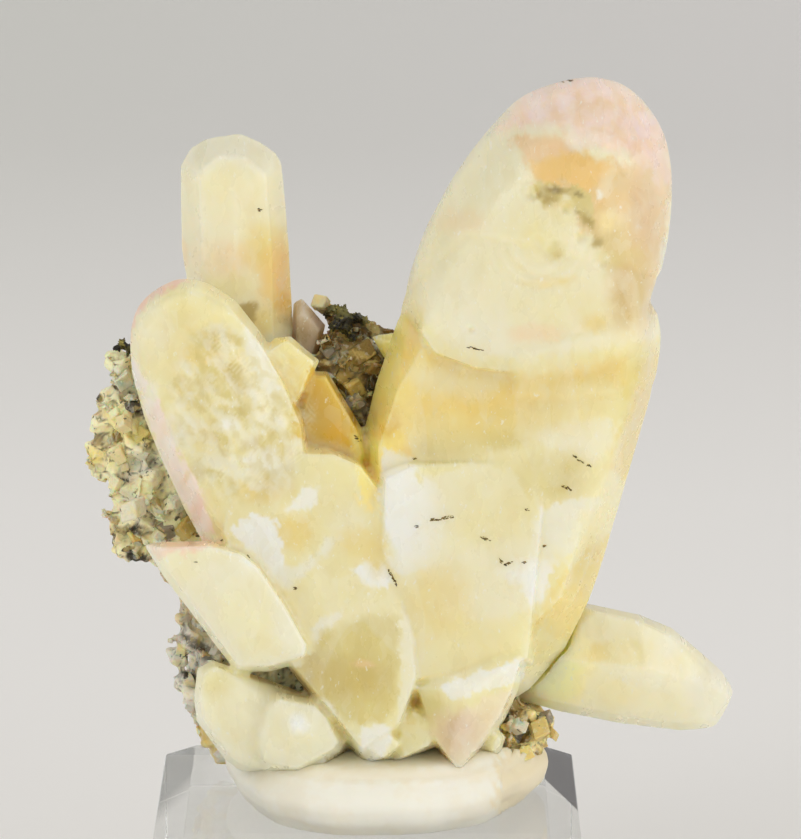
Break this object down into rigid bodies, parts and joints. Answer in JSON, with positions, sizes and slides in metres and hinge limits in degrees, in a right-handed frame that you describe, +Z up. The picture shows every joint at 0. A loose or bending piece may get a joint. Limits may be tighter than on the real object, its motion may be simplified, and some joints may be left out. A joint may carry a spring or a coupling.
{
  "type": "calcite with chalcopyrite specimen",
  "caption": "Intergrown pale yellow calcite crystals on a rock matrix with chalcopyrite, held in white putty on a clear bevelled block.",
  "frame": {"origin": "centre of the block's underside, on the surface it stands on", "axes": "+Z up, +X to the right of the display side, +Y away from the viewer"},
  "size_m": [0.0784, 0.0508, 0.1124],
  "materials": {
    "acrylic": "clear, polished",
    "putty": "soft cream white, matt",
    "matrix": "rough, ochre, grey and black grains",
    "calcite": "translucent pale yellow, glassy, pink towards the tip",
    "column_calcite": "translucent cream, orange towards the foot",
    "side_calcite": "translucent yellow, paler at the tip",
    "grey_calcite": "clear grey pink",
    "chalcopyrite": "dark tarnished green black with a metallic sheen"
  },
  "bodies": {
    "root": {"acrylic_block": "acrylic", "mounting_putty": "putty", "matrix_rock": "matrix", "calcite_crystals": "calcite", "column_crystal": "column_calcite", "side_crystal": "side_calcite", "grey_crystal": "grey_calcite", "chalcopyrite_crest": "chalcopyrite", "chalcopyrite_flank": "chalcopyrite"}
  },
  "joints": []
}
